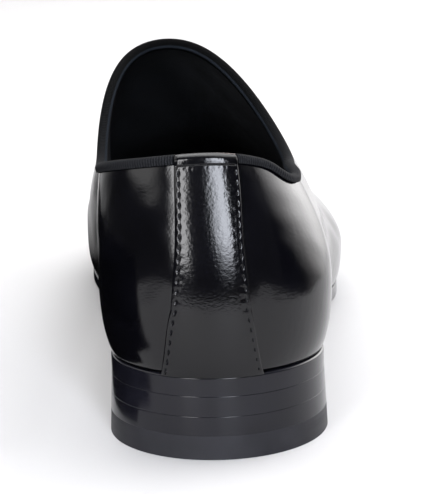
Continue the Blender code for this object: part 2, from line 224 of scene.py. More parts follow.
def placeGrid(mesh, place):
    grid = np.array([vertex.co for vertex in mesh.verts])
    spots = toRow(place(grid[:, 0] + 0.5, grid[:, 1] + 0.5, np.rint(grid[:, 2]).astype(int)))
    for vertex, spot in zip(mesh.verts, spots):
        vertex.co = spot
    bmesh.ops.remove_doubles(mesh, verts=mesh.verts, dist=weld)
    return mesh


def shapedSheet(across, along, place, cloth=None):
    # open sheet; cloth gives each vertex its place on the flat material, in millimetres
    return placeGrid(startGrid(across, along, cloth), place)


def shapedBlock(across, along, levels, place):
    # closed block whose levels are counted from the underside
    mesh = startGrid(across, along)
    region = mesh.faces[:]
    for level in range(1, levels):
        grown = bmesh.ops.extrude_face_region(mesh, geom=region)["geom"]
        if level > 1:
            bmesh.ops.delete(mesh, geom=region, context="FACES")
        region = [item for item in grown if isinstance(item, bmesh.types.BMFace)]
        risen = [item for item in grown if isinstance(item, bmesh.types.BMVert)]
        bmesh.ops.translate(mesh, verts=risen, vec=(0.0, 0.0, 1.0))
    bmesh.ops.recalc_face_normals(mesh, faces=mesh.faces)
    # rim is 1 along the lower edge and 0 from the holding level up; satinEdge paints a highlight along it
    rim = mesh.verts.layers.float.new("rim")
    for vertex in mesh.verts:
        vertex[rim] = float(round(vertex.co.z) < levels / 2 - 1)
    return placeGrid(mesh, place)


def addObject(name, mesh, material):
    data = bpy.data.meshes.new(name)
    mesh.to_mesh(data)
    mesh.free()
    data.materials.append(material)
    item = bpy.data.objects.new(name, data)
    bpy.context.scene.collection.objects.link(item)
    return item


def addPiece(name, mesh, material, replaced=(), wall=None, sharp=40.0):
    # wall gives the thickness and on which side of the mesh it lies
    piece = addObject(name, mesh, material)
    piece.data.shade_smooth()
    piece.data.set_sharp_from_angle(angle=math.radians(sharp))
    if wall:
        thick = piece.modifiers.new("wall", "SOLIDIFY")
        thick.thickness, thick.offset = wall[0] * mm, wall[1]
        thick.use_even_offset = thick.use_quality_normals = True
    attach(piece, "root")
    if replaced:
        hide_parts(*replaced)
    print("made", name)


# Material helpers: a socket takes a link or a plain value
def plug(tree, socket, value):
    if isinstance(value, bpy.types.NodeSocket):
        tree.links.new(value, socket)
    else:
        socket.default_value = value


def plugAll(tree, node, sockets):
    for name, value in sockets.items():
        plug(tree, node.inputs[name.replace("_", " ")], value)
    return node


def startMaterial(name, **sockets):
    material = bpy.data.materials.new(name)
    material.use_nodes = True
    tree = material.node_tree
    return material, tree, plugAll(tree, tree.nodes["Principled BSDF"], sockets)


def addNode(tree, kind, settings=None, **sockets):
    node = tree.nodes.new("ShaderNode" + kind)
    for name, value in (settings or {}).items():
        setattr(node, name, value)
    return plugAll(tree, node, sockets)


def objectSpots(tree, stretch=(1.0, 1.0, 1.0), turn=(0.0, 0.0, 0.0)):
    spots = addNode(tree, "TexCoord").outputs["Object"]
    return addNode(tree, "Mapping", Vector=spots, Scale=stretch, Rotation=turn).outputs["Vector"]


def clothSpots(tree):
    return addNode(tree, "UVMap", {"uv_map": "cloth"}).outputs["UV"]


def partsOf(tree, vector):
    return addNode(tree, "SeparateXYZ", Vector=vector).outputs


def noiseOf(tree, spots, scale, detail=4.0, rough=0.55):
    return addNode(tree, "TexNoise", Vector=spots, Scale=scale, Detail=detail,
                   Roughness=rough).outputs["Fac"]


def mixColours(tree, share, low, high):
    # from one colour to the other over the span of a noise
    ramp = addNode(tree, "ValToRGB", Fac=share)
    for element, place, colour in zip(ramp.color_ramp.elements, noiseSpan, (low, high)):
        element.position, element.color = place, (*colour, 1.0)
    return ramp.outputs["Color"]


def blendColours(tree, share, low, high):
    # low and high are sockets, or colours with their alpha
    node = addNode(tree, "Mix", {"data_type": "RGBA"}, Factor=share)
    plug(tree, node.inputs[6], low)
    plug(tree, node.inputs[7], high)
    return node.outputs[2]


def mapTo(tree, value, low, high, fromLow=noiseSpan[0], fromHigh=noiseSpan[1]):
    return addNode(tree, "MapRange", Value=value, From_Min=fromLow, From_Max=fromHigh,
                   To_Min=low, To_Max=high).outputs["Result"]


def mathOf(tree, operation, *values):
    node = addNode(tree, "Math", {"operation": operation})
    for socket, value in zip(node.inputs, values):
        plug(tree, socket, value)
    return node.outputs[0]


def timesOf(tree, value, factor):
    return mathOf(tree, "MULTIPLY", value, factor)


def addBump(tree, height, strength, depth, below=None):
    node = addNode(tree, "Bump", Height=height, Strength=strength, Distance=depth * mm)
    if below is not None:
        plug(tree, node.inputs["Normal"], below)
    return node.outputs["Normal"]


def polishedLeather(name, look):
    # black leather under a hard wax shine, with a fine pore and fibre grain
    material, tree, shader = startMaterial(
        name, Specular_IOR_Level=look["baseShine"], Coat_Weight=1.0,
        Coat_Roughness=look["coatRoughness"], Coat_IOR=look["coatIor"])
    spots = objectSpots(tree)
    patches = noiseOf(tree, spots, look["patchScale"])
    pores = addNode(tree, "TexVoronoi", {"feature": "SMOOTH_F1"}, Vector=spots,
                    Scale=look["poreScale"]).outputs["Distance"]
    fibres = noiseOf(tree, objectSpots(tree, look["fibreRun"]), look["fibreScale"], 2.0)
    # fine wrinkles come in patches
    wrinkles = noiseOf(tree, objectSpots(tree, *look["wrinkleRun"]), look["wrinkleScale"], 2.0)
    worked = mapTo(tree, noiseOf(tree, spots, look["workedScale"], 2.0), 0.1, 1.0, *look["workedSpan"])
    creased = addBump(tree, timesOf(tree, wrinkles, worked), *look["wrinkleBump"])
    pored = addBump(tree, pores, *look["poreBump"], creased)
    plugAll(tree, shader, dict(
        Base_Color=mixColours(tree, patches, look["dark"], look["light"]),
        Roughness=mapTo(tree, patches, *look["roughness"]),
        Normal=addBump(tree, fibres, *look["fibreBump"], pored),
        Coat_Normal=addBump(tree, fibres, *look["shineBump"], creased)))
    return material


def satinEdge(name, look):
    # dyed and burnished edge: level fibres, a soft shine, a few pale scratches, and pale dashes along the
    # rims that are a painted highlight of the joints
    material, tree, shader = startMaterial(name, Specular_IOR_Level=look["shine"])
    layers = noiseOf(tree, objectSpots(tree, look["layerRun"]), look["layerScale"], 3.0)
    patches = noiseOf(tree, objectSpots(tree), look["patchScale"])
    scratches = noiseOf(tree, objectSpots(tree, *look["scratchRun"]), look["scratchScale"], 2.0)
    scratched = mapTo(tree, scratches, 0.0, 1.0, look["wornFrom"], look["wornFrom"] + look["wornSoft"])
    highlightBreaks = noiseOf(tree, objectSpots(tree, look["breakRun"]), look["breakScale"], 3.0)
    brokenHighlight = mapTo(tree, highlightBreaks, 0.0, look["rimHighlight"], *look["breakSpan"])
    rim = addNode(tree, "Attribute", {"attribute_name": "rim"}).outputs["Fac"]
    # the painted rim highlight is faint on faces that look down
    upward = partsOf(tree, addNode(tree, "TexCoord").outputs["Normal"])["Z"]
    rim = timesOf(tree, rim, mapTo(tree, upward, look["underHighlight"], 1.0, *look["underSpan"]))
    # the pale colour is real wear in the scratches and a painted highlight along the rims
    wearAndHighlight = mathOf(tree, "MAXIMUM", scratched, timesOf(tree, brokenHighlight, rim))
    dyed = mixColours(tree, patches, look["dark"], look["light"])
    relief = addBump(tree, layers, *look["layerBump"])
    plugAll(tree, shader, dict(
        Base_Color=blendColours(tree, wearAndHighlight, dyed, (*look["wearAndHighlight"], 1.0)),
        Roughness=mapTo(tree, layers, *look["roughness"]),
        Normal=addBump(tree, patches, *look["patchBump"], relief)))
    return material


# Upper: one fine wall on the last, with soft creases at listed places
upper = dict(
    collarSteps=150, ridgeSteps=110, lowRows=12, highRows=60, thickness=1.1,
    # the relief fades at the lower edge, under the collar but not along the ridge, and at the toe
    calmFoot=(0.0, 0.12), calmTop=(0.95, 1.0), ridgeHalf=0.2, calmToe=(285.0, 297.0),
    waves=((0.020, 13.0, (0.9, 0.2, 0.45), 0.3), (0.016, 9.5, (0.3, 0.5, 0.9), 1.7),
           (0.030, 24.0, (0.7, -0.5, 0.3), 2.2), (0.012, 7.0, (-0.5, 0.6, 0.7), 4.0)),
    # a low ridge on both sides of a crease: share of its depth, and how many half widths away
    creaseRidge=(0.35, 2.1), creaseFade=0.7, sideFrom=12.0, flexAbove=18.0,
    # side creases: side, start (y, z), end (y, z), half width, depth
    sideCreases=((medial, (38, 72), (63, 52), 3.2, 0.22), (medial, (50, 74), (84, 58), 2.6, 0.17),
                 (medial, (68, 75), (96, 69), 2.4, 0.15), (medial, (28, 64), (44, 47), 3.0, 0.16),
                 (lateral, (44, 72), (70, 55), 3.0, 0.17), (lateral, (62, 73), (94, 65), 2.6, 0.15),
                 (lateral, (150, 44), (186, 20), 3.2, 0.30), (medial, (150, 46), (184, 22), 3.2, 0.30)),
    # flex creases over the ball: start (x, y), end (x, y), half width, depth
    flexCreases=(((-46, 199), (40, 206), 3.4, 0.42), ((-40, 188), (34, 193), 3.0, 0.34),
                 ((-34, 211), (30, 217), 3.6, 0.30)),
)
collarShare = upper["collarSteps"] / (upper["collarSteps"] + upper["ridgeSteps"])


def lineDistance(spots, start, end):
    start, end = np.array(start, float), np.array(end, float)
    run = end - start
    share = np.clip((spots - start) @ run / (run @ run), 0.0, 1.0)
    return np.linalg.norm(spots - start - share[:, None] * run, axis=1), share


def troughs(distance, share, width, depth):
    # a soft trough that fades at its ends
    ridge, away = upper["creaseRidge"]
    fade = np.sin(np.clip(share, 0.02, 0.98) * math.pi) ** upper["creaseFade"]
    return (ridge * bump(distance, away * width, width) - bump(distance, 0.0, width)) * depth * fade


def leatherRelief(points):
    relief = np.zeros(len(points))
    for height, length, way, phase in upper["waves"]:
        relief += height * np.sin(points @ np.array(way) * 2 * math.pi / length + phase)
    for side, start, end, width, depth in upper["sideCreases"]:
        distance, share = lineDistance(points[:, 1:], start, end)
        onSide = points[:, 0] * side > upper["sideFrom"]
        relief += np.where(onSide, troughs(distance, share, width, depth), 0.0)
    for start, end, width, depth in upper["flexCreases"]:
        distance, share = lineDistance(points[:, :2], start, end)
        onTop = points[:, 2] > upper["flexAbove"]
        relief += np.where(onTop, troughs(distance, share, width, depth), 0.0)
    return relief


def upperGrid(u, v):
    side, reach = roundShoe(u)
    share = np.minimum(reach / collarShare, 1.0)
    ahead = np.sin(np.clip((reach - collarShare) / (1 - collarShare), 0.0, 1.0) * math.pi / 2)
    foot = back + (shoe["footSplit"] - back) * share + (shoe["length"] - shoe["footSplit"]) * ahead
    head, turn = collarPlace(share, side)
    head = head + (shoe["length"] - shoe["apex"]) * ahead
    angle = sideTurn(side, turn)
    row = v * (upper["lowRows"] + upper["highRows"]) - upper["lowRows"]
    here = np.where(row < 0, shoe["undercut"] * row / upper["lowRows"], angle * row / upper["highRows"])
    station = foot + (head - foot) * (here + shoe["undercut"]) / (angle + shoe["undercut"])
    return station, sideTurn(side, here)


def upperPlace(u, v, level):
    station, turn = upperGrid(u, v)
    points = lastPoints(station, turn)
    offRidge = np.abs(u - 0.5) > upper["ridgeHalf"]
    calm = softStep(v, *upper["calmFoot"]) * (1 - softStep(v, *upper["calmTop"]) * offRidge)
    calm = calm * (1 - softStep(station, *upper["calmToe"]))
    return points + outwardNormals(station, turn) * (leatherRelief(points) * calm)[:, None]


upperLook = dict(
    dark=(0.0007, 0.0007, 0.0012), light=(0.0018, 0.0018, 0.0028), patchScale=55.0, roughness=(0.30, 0.42),
    baseShine=0.0, coatRoughness=0.125, coatIor=1.42,
    # strength and depth of each bump; a run stretches and turns its pattern
    poreScale=1500.0, poreBump=(0.10, 0.12), shineBump=(0.22, 0.1),
    fibreRun=(0.8, 0.8, 1.0), fibreScale=1500.0, fibreBump=(0.10, 0.1),
    wrinkleRun=((1.0, 1.0, 0.45), (0.5, 0.0, 0.6)), wrinkleScale=360.0, wrinkleBump=(0.4, 0.2),
    workedScale=38.0, workedSpan=(0.44, 0.62))
blackLeather = polishedLeather("polished black leather", upperLook)
around = 2 * (upper["collarSteps"] + upper["ridgeSteps"])
upperMesh = shapedSheet(around, upper["lowRows"] + upper["highRows"], upperPlace)
addPiece("upperShell", upperMesh, blackLeather, ("upper",), (upper["thickness"], -1.0))

# Lining: matte leather inside the upper, up under the ribbon
lining = dict(outside=-1.3, thickness=0.7, lowest=0.03, belowCollar=0.02, fullFrom=0.04, columns=150, rows=30)


def liningPlace(u, v, level):
    ahead = softStep(roundShoe(u)[1], collarShare - lining["fullFrom"], collarShare)
    short = lining["belowCollar"] * (1 - ahead)
    station, turn = upperGrid(u, lining["lowest"] + v * (1 - lining["lowest"] - short))
    return wallPoints(station, turn, lining["outside"])


def matteLining(name, look):
    material, tree, shader = startMaterial(name, Specular_IOR_Level=look["shine"])
    spots = objectSpots(tree)
    pores = addNode(tree, "TexVoronoi", Vector=spots, Scale=look["poreScale"]).outputs["Distance"]
    patches = noiseOf(tree, spots, look["patchScale"])
    plugAll(tree, shader, dict(
        Base_Color=mixColours(tree, patches, look["dark"], look["light"]),
        Roughness=mapTo(tree, patches, *look["roughness"]),
        Normal=addBump(tree, pores, *look["poreBump"])))
    return material


liningLook = dict(dark=(0.0035, 0.004, 0.005), light=(0.007, 0.008, 0.0105), patchScale=70.0, shine=0.25,
                  roughness=(0.68, 0.85), poreScale=1200.0, poreBump=(0.25, 0.15))
blackLining = matteLining("matte black lining", liningLook)
liningMesh = shapedSheet(2 * lining["columns"], lining["rows"], liningPlace)
addPiece("lining", liningMesh, blackLining, (), (lining["thickness"], -1.0))

# Heel strip: edges turned and stitched down, its top carried over the ribbon as a tab
strip = dict(
    out=1.45, thickness=0.9, edgeZone=3.4, edgeColumns=32, middleColumns=46,
    rise=2.15, foldStart=math.radians(16.0), foldWiden=0.6, tabLeg=9.0, insideGap=1.5,
    # rows on the way up: to the widest line, to the tab, to the collar, over it and down inside
    rows=(64, 214, 250, 266, 278), climbs=(0.62, 0.955),
    # flap, seam and pits: lateral, medial
    flapDrop=(0.12, 0.34), seamIn=(1.3, 1.6), pitDepth=(0.18, 0.50), pitWidth=0.36, pitLength=0.55,
    edgeDrop=0.42, edgeRound=0.5, flapPower=1.2, seamDip=0.05, sewnFrom=(0.2, 0.9), pitch=3.05,
    pucker=0.045, puckerLength=0.9, puckerIn=0.9, puckerWidth=0.8,
    tabSeam=2.35, tabSeamWidth=0.17, tabSeamDepth=0.26, tabSeamEnds=(0.3, 1.4),
    tabBulge=0.30, tabBulgeAt=0.8, tabBulgeReach=1.6,
    tabPleat=0.014, tabPleatLength=2.3, tabPleatBelow=0.9, tabPleatReach=0.8,
)
tabInside = -shoe["wall"] - strip["insideGap"]
# climb from the lower edge to the collar, lateral and medial edge away from the back seam
stripEdges = ((-0.3, 17.0, 20.6), (0.0, 14.8, 18.3), (0.35, 12.0, 15.3), (0.65, 9.9, 12.6),
              (0.8, 9.5, 10.7), (0.9, 10.9, 10.35), (1.0, 12.4, 10.4))
stripLateral, stripMedial = [columnCurve(stripEdges, i) for i in (1, 2)]


def stripHalf(climb):
    return (stripLateral(climb) + stripMedial(climb)) / 2


def stripMiddle(climb):
    return (stripLateral(climb) - stripMedial(climb)) / 2


def stripSide(offset, pair):
    return np.where(offset > 0, pair[0], pair[1])


def stripRelief(offset, half, below):
    # height of the strip's face: offset from its middle, below the way down from its top
    edge = half - np.abs(offset)
    seamIn = stripSide(offset, strip["seamIn"])
    rounded = np.clip(1 - edge / strip["edgeRound"], 0.0, 1.0)
    height = strip["out"] - strip["edgeDrop"] * (1 - np.sqrt(np.maximum(1 - rounded ** 2, 0.0)))
    # the margin outside the seam slopes down, and each stitch hole draws in a pit
    flap = np.clip(1 - edge / seamIn, 0.0, 1.0) ** strip["flapPower"]
    height -= stripSide(offset, strip["flapDrop"]) * flap
    sewn = softStep(below, *[strip["tabSeam"] + start for start in strip["sewnFrom"]])
    along = (below / strip["pitch"] % 1.0 - 0.5) * strip["pitch"]
    pits = stripSide(offset, strip["pitDepth"]) * bump(along, 0.0, strip["pitLength"])
    height -= sewn * (pits + strip["seamDip"]) * bump(edge, seamIn, strip["pitWidth"])
    pucker = strip["pucker"] * bump(along, 0.0, strip["puckerLength"])
    height -= sewn * pucker * bump(edge, seamIn + strip["puckerIn"], strip["puckerWidth"])
    inner = softStep(edge, *strip["tabSeamEnds"])
    height -= strip["tabSeamDepth"] * bump(below, strip["tabSeam"], strip["tabSeamWidth"]) * inner
    pleat = np.sin(offset * 2 * math.pi / strip["tabPleatLength"] + np.sin(offset))
    pleat *= bump(below, strip["tabSeam"] + strip["tabPleatBelow"], strip["tabPleatReach"])
    height += strip["tabPleat"] * pleat * inner
    roll = np.clip((below - strip["tabBulgeAt"]) / strip["tabBulgeReach"], -1.0, 1.0)
    return height + strip["tabBulge"] * np.cos(roll * math.pi / 2) ** 2


def asidePlace(aside):
    # side and station of a spot that lies aside from the back seam
    return np.where(aside >= 0, lateral, medial), back + np.abs(aside)


def climbPlace(aside, climb):
    # station and turn of such a spot on its way up from the lower edge to the collar
    side, station = asidePlace(aside)
    angle = -shoe["undercut"] + (collarAngle(station, side) + shoe["undercut"]) * climb
    return station, sideTurn(side, angle)


def stripPoints(aside, climb, lift=0.0):
    # outside of the strip
    place = climbPlace(aside, climb)
    below = np.linalg.norm(lastPoints(*place) - lastPoints(*climbPlace(aside, 1.0)), axis=1)
    height = stripRelief(aside - stripMiddle(climb), stripHalf(climb), below) + lift
    return wallPoints(*place, height)


def foldPoints(aside, outside, bend, stand):
    # half round over the collar's edge; bend runs from the outside to the inside
    station, turn = climbPlace(aside, 1.0)
    upward = unit(surfaceSlopes(station, turn)[1]) * asidePlace(aside)[0][:, None]
    first = strip["foldStart"]
    angle = first + (math.pi - first) * bend
    half = (outside - tabInside) / 2 / math.cos(first) + stand
    across = (outside + tabInside) / 2 + half * np.cos(angle)
    rise = (strip["rise"] + stand) * (np.sin(angle) - math.sin(first))
    return wallPoints(station, turn, across) + upward * rise[:, None]


def widenFold(u, bend):
    # the lateral corner of the fold stands out a little
    return strip["foldWiden"] * np.sin(np.minimum(bend, 0.5) * math.pi) * np.maximum(2 * u - 1, 0.0)


def stripPlace(u, v, level):
    low, high, top, over, last = strip["rows"]
    row = v * last
    climb = np.interp(row, (0, low, high, top), (0.0, *strip["climbs"], 1.0))
    bend = np.clip((row - top) / (over - top), 0.0, 1.0)
    # columns crowd along both edges
    share = 2 * u - 1
    middle = strip["middleColumns"] / (strip["middleColumns"] + 2 * strip["edgeColumns"])
    inner = stripHalf(climb) - strip["edgeZone"]
    offset = inner * np.minimum(np.abs(share) / middle, 1.0)
    offset = offset + strip["edgeZone"] * np.maximum((np.abs(share) - middle) / (1 - middle), 0.0)
    aside = stripMiddle(climb) + np.sign(share) * offset + widenFold(u, bend)
    outside = stripRelief(np.sign(share) * offset, stripHalf(climb), np.zeros(len(u)))
    # the leg inside goes down from the end of the fold
    side, station = asidePlace(aside)
    edgeAngle = collarAngle(station, side)
    swing = surfaceSlopes(station, sideTurn(side, edgeAngle))[1]
    foldEnd = strip["rise"] * math.sin(strip["foldStart"])
    depth = foldEnd + strip["tabLeg"] * np.clip((row - over) / (last - over), 0.0, 1.0)
    lower = edgeAngle - depth / np.linalg.norm(swing, axis=1)
    within = wallPoints(station, sideTurn(side, lower), tabInside)
    inFold, inLeg = (row > top + 0.01)[:, None], (row > over + 0.01)[:, None]
    folded = np.where(inFold, foldPoints(aside, outside, bend, 0.0), stripPoints(aside, climb))
    return np.where(inLeg, within, folded)


stripLook = dict(upperLook, poreScale=1350.0, fibreScale=1300.0, shineBump=(0.40, 0.1), coatRoughness=0.12,
                 wrinkleScale=520.0, wrinkleBump=(0.26, 0.2))
stripLeather = polishedLeather("polished strip leather", stripLook)
stripColumns = strip["middleColumns"] + 2 * strip["edgeColumns"]
stripMesh = shapedSheet(stripColumns, strip["rows"][-1], stripPlace)
addPiece("heelStrip", stripMesh, stripLeather, ("heel_strip",), (strip["thickness"], -1.0))

# Raw edge: pale cut leather along the top of the tab
rawEdge = dict(margin=0.5, steps=80, rows=6, fromBend=(0.37, 0.23), widens=(0.5, 0.9), toBend=0.48,
               ragged=((0.05, 4.1, 0.0), (0.04, 9.7, 1.0)),   # height, pace and phase of its waves
               stand=0.06, thickness=0.4, dark=(0.018, 0.0165, 0.016), light=(0.062, 0.056, 0.053),
               tan=(0.45, 0.365, 0.335), tanReach=8.0, fibreScale=1600.0, fibreBump=(0.5, 0.2))


def rawEdgePlace(u, v, level):
    thin, wide = rawEdge["fromBend"]
    fromBend = thin + (wide - thin) * softStep(u, *rawEdge["widens"])
    bend = fromBend + (rawEdge["toBend"] - fromBend) * v
    offset = (2 * u - 1) * (stripHalf(1.0) - rawEdge["margin"])
    aside = stripMiddle(1.0) + offset + widenFold(u, bend)
    outside = stripRelief(offset, stripHalf(1.0), np.zeros(len(u)))
    ragged = sum(height * np.sin(aside * pace + phase) for height, pace, phase in rawEdge["ragged"])
    return foldPoints(aside, outside, bend, rawEdge["stand"] + ragged * np.sin(v * math.pi))


rawMaterial, rawTree, rawShader = startMaterial("raw cut leather", Roughness=0.75, Specular_IOR_Level=0.3)
rawFibres = noiseOf(rawTree, objectSpots(rawTree), rawEdge["fibreScale"])
rawAcross = partsOf(rawTree, objectSpots(rawTree))["X"]
rawTan = mapTo(rawTree, rawAcross, 0.0, 1.0, 0.0, rawEdge["tanReach"] * mm)
rawTints = [mixColours(rawTree, rawFibres, rawEdge["dark"], rawEdge[tint]) for tint in ("light", "tan")]
plugAll(rawTree, rawShader, dict(
    Base_Color=blendColours(rawTree, rawTan, *rawTints),
    Normal=addBump(rawTree, rawFibres, *rawEdge["fibreBump"])))
rawMesh = shapedSheet(rawEdge["steps"], rawEdge["rows"], rawEdgePlace)
addPiece("tabRawEdge", rawMesh, rawMaterial, (), (rawEdge["thickness"], -1.0))

# Stitches: sunk thread in the seams of the strip and across the tab
thread = dict(radius=0.2, length=2.4, sink=0.2, holeRadius=0.34, holeLength=1.5, seamSteps=1200,
              tabRadius=0.3, tabLength=2.6, tabPitch=2.6, tabSink=0.1, tabMargin=2.4, tabFrom=0.9,
              tabSteps=60, dark=(0.002, 0.002, 0.0025), light=(0.006, 0.006, 0.007),
              twistRun=((1.0, 1.0, 0.5), (0.6, 0.6, 0.0)), twistScale=3500.0, twistBump=(0.5, 0.1))


def addStitch(mesh, middle, along, out, length, radius):
    along = Vector(along).normalized()
    out = (Vector(out) - along * Vector(out).dot(along)).normalized()
    turned = Matrix((along.cross(out), along, out)).transposed().to_4x4()
    size = Matrix.Diagonal((radius * mm, length / 2 * mm, radius * mm, 1.0))
    place = Matrix.Translation(Vector(toRow(np.array(middle)))) @ turned @ size
    bmesh.ops.create_uvsphere(mesh, u_segments=8, v_segments=6, radius=1.0, matrix=place)


stitchMesh = bmesh.new()
climbs = np.linspace(0.0, 1.0, thread["seamSteps"])
for side in (lateral, medial):
    asides = stripMiddle(climbs) + side * (stripHalf(climbs) - stripSide(side, strip["seamIn"]))
    bed, place = stripPoints(asides, climbs), climbPlace(asides, climbs)
    bare, normals = lastPoints(*place), outwardNormals(*place)
    below = np.linalg.norm(bare - bare[-1], axis=1)
    run = bare[2:] - bare[:-2]
    for count in np.arange(1.0, below[0] / strip["pitch"] - 0.5, 0.5):
        # a stitch lies between two pits, and its thread goes down in each of them
        i = int(np.argmin(np.abs(below - count * strip["pitch"])))
        i = min(max(i, 1), len(climbs) - 2)
        if count % 1.0:
            addStitch(stitchMesh, bed[i], run[i - 1], normals[i], thread["holeLength"], thread["holeRadius"])
        else:
            spot = bed[i] - normals[i] * thread["sink"]
            addStitch(stitchMesh, spot, run[i - 1], normals[i], thread["length"], thread["radius"])
tabReach = float(stripHalf(1.0)) - thread["tabMargin"]
tabClimbs = np.linspace(thread["tabFrom"], 1.0, thread["tabSteps"])
for aside in float(stripMiddle(1.0)) + np.arange(-tabReach, tabReach, thread["tabPitch"]):
    near = aside + np.array((-0.5, 0.0, 0.5))
    column = stripPoints(np.full(len(tabClimbs), aside), tabClimbs)
    row = int(np.argmin(np.abs(np.linalg.norm(column - column[-1], axis=1) - strip["tabSeam"])))
    spots = stripPoints(near, np.full(3, tabClimbs[row]), -thread["tabSink"])
    outward = np.cross(spots[2] - spots[0], column[row + 1] - column[row - 1])
    outward = outward if outward[1] < 0 else -outward
    addStitch(stitchMesh, spots[1], spots[2] - spots[0], outward, thread["tabLength"], thread["tabRadius"])
threadMaterial, threadTree, threadShader = startMaterial(
    "waxed black thread", Roughness=0.6, Specular_IOR_Level=0.15)
twist = noiseOf(threadTree, objectSpots(threadTree, *thread["twistRun"]), thread["twistScale"], 2.0)
plugAll(threadTree, threadShader, dict(
    Base_Color=mixColours(threadTree, twist, thread["dark"], thread["light"]),
    Normal=addBump(threadTree, twist, *thread["twistBump"])))
addPiece("stripStitches", stitchMesh, threadMaterial)

# Binding: ribbed ribbon folded over the whole topline, from one side of the tab to the other
ribbon = dict(
    steps=170, thickness=0.7, middle=-0.6, halfWidth=1.65, halfHeight=1.25, lift=0.55, rollSteps=21,
    lowest=math.radians(35.0), outerLeg=0.75, legIn=0.36, innerLeg=0.6, legRows=(0.33, 0.67, 1.0),
    endGap=0.1, endReach=0.12, endDrop=0.5, halfLength=190.0,
    ribPitch=0.85, ribBump=(0.7, 0.16), weaveScale=9.0, weaveBump=(0.3, 0.1), roughness=(0.55, 0.8),
    # a pale bluish band round the roll's inner side is a painted highlight
    lineAt=math.radians(128.0), lineCore=0.2, lineWidth=0.5,
    dark=(0.0047, 0.005, 0.0059), light=(0.0138, 0.0143, 0.0162), line=(0.009, 0.0112, 0.015),
    # painted shade: the ribbon is darker ahead of the quarters, where the throat shades it, in metres of the
    # frame
    throatShade=(0.0006, 0.0007, 0.0009), throatShadeFrom=-0.095, throatShadeTo=-0.05,
)


def ribbonProfile():
    # middle line of the folded ribbon: out from the upper's face, and up from its edge; also the row of the
    # roll where the pale band, a painted highlight, lies
    turns = np.linspace(-ribbon["lowest"], math.pi + ribbon["lowest"], ribbon["rollSteps"])
    roll = np.column_stack((ribbon["middle"] + ribbon["halfWidth"] * np.cos(turns),
                            ribbon["lift"] + ribbon["halfHeight"] * np.sin(turns)))
    outer = [(roll[0, 0] - ribbon["legIn"] * share, roll[0, 1] - ribbon["outerLeg"] * share)
             for share in reversed(ribbon["legRows"])]
    inner = [(roll[-1, 0], roll[-1, 1] - ribbon["innerLeg"] * share) for share in ribbon["legRows"]]
    return np.vstack((outer, roll, inner)), int(np.argmin(np.abs(turns - ribbon["lineAt"]))) + len(outer)


ribbonLine, glintRow = ribbonProfile()
ribbonWay = np.concatenate(((0.0,), np.cumsum(np.linalg.norm(np.diff(ribbonLine, axis=0), axis=1))))


def collarRun(share, side):
    nudge = 0.003
    before = lastPoints(*collarPlace(share - nudge, side))
    ahead = lastPoints(*collarPlace(np.minimum(share + nudge, 1.0), side))
    across = lastPoints(*collarPlace(share - nudge, -side))
    return np.where((share < 1.0)[:, None], ahead - before, across - before) * side[:, None]


def ribbonPlace(u, v, level):
    out, up = ribbonLine[np.rint(v * (len(ribbonLine) - 1)).astype(int)].T
    side, reach = roundShoe(u)
    stripEdge = np.where(side > 0, stripLateral(1.0), stripMedial(1.0)) + ribbon["endGap"]
    first = np.arcsin(stripEdge / (shoe["apex"] - back)) / (math.pi / 2)
    share = first + (1 - first) * reach
    up = up - ribbon["endDrop"] * (1 - softStep(reach, 0.0, ribbon["endReach"]))
    station, turn = collarPlace(share, side)
    away = unit(np.cross(outwardNormals(station, turn), collarRun(share, side)))
    along, swing = surfaceSlopes(station, turn)
    upright = unit(swing) * side[:, None]
    away = away + (upright - away) * np.maximum(1 - reach / ribbon["endReach"], 0.0)[:, None]
    # below the edge the ribbon lies along the wall
    aa, ab, bb = (along * along).sum(1), (along * swing).sum(1), (swing * swing).sum(1)
    pa, pb = (along * away).sum(1), (swing * away).sum(1)
    spread = aa * bb - ab * ab
    down = np.minimum(up, 0.0)
    stationMove, turnMove = (bb * pa - ab * pb) / spread * down, (aa * pb - ab * pa) / spread * down
    points = wallPoints(station + stationMove, turn + turnMove, out)
    return points + away * np.maximum(up, 0.0)[:, None]


def ribbonCloth(u, v):
    return u * 2 * ribbon["halfLength"], float(ribbonWay[round(v * (len(ribbonLine) - 1))])


ribMaterial, ribTree, ribShader = startMaterial("ribbed black ribbon", Specular_IOR_Level=0.04)
ribSpots = clothSpots(ribTree)
ribs = addNode(ribTree, "TexWave", {"wave_type": "BANDS", "bands_direction": "X", "wave_profile": "SIN"},
               Vector=ribSpots, Scale=math.pi / (10 * ribbon["ribPitch"]), Distortion=0.4,
               Detail=1.0).outputs["Fac"]
weave = noiseOf(ribTree, ribSpots, ribbon["weaveScale"], 3.0)
# the pale band along the roll is a painted highlight
pastGlint = mathOf(ribTree, "SUBTRACT", partsOf(ribTree, ribSpots)["Y"], float(ribbonWay[glintRow]))
awayFromGlint = mathOf(ribTree, "ABSOLUTE", pastGlint)
glintShare = mapTo(ribTree, awayFromGlint, 1.0, 0.0, ribbon["lineCore"], ribbon["lineWidth"])
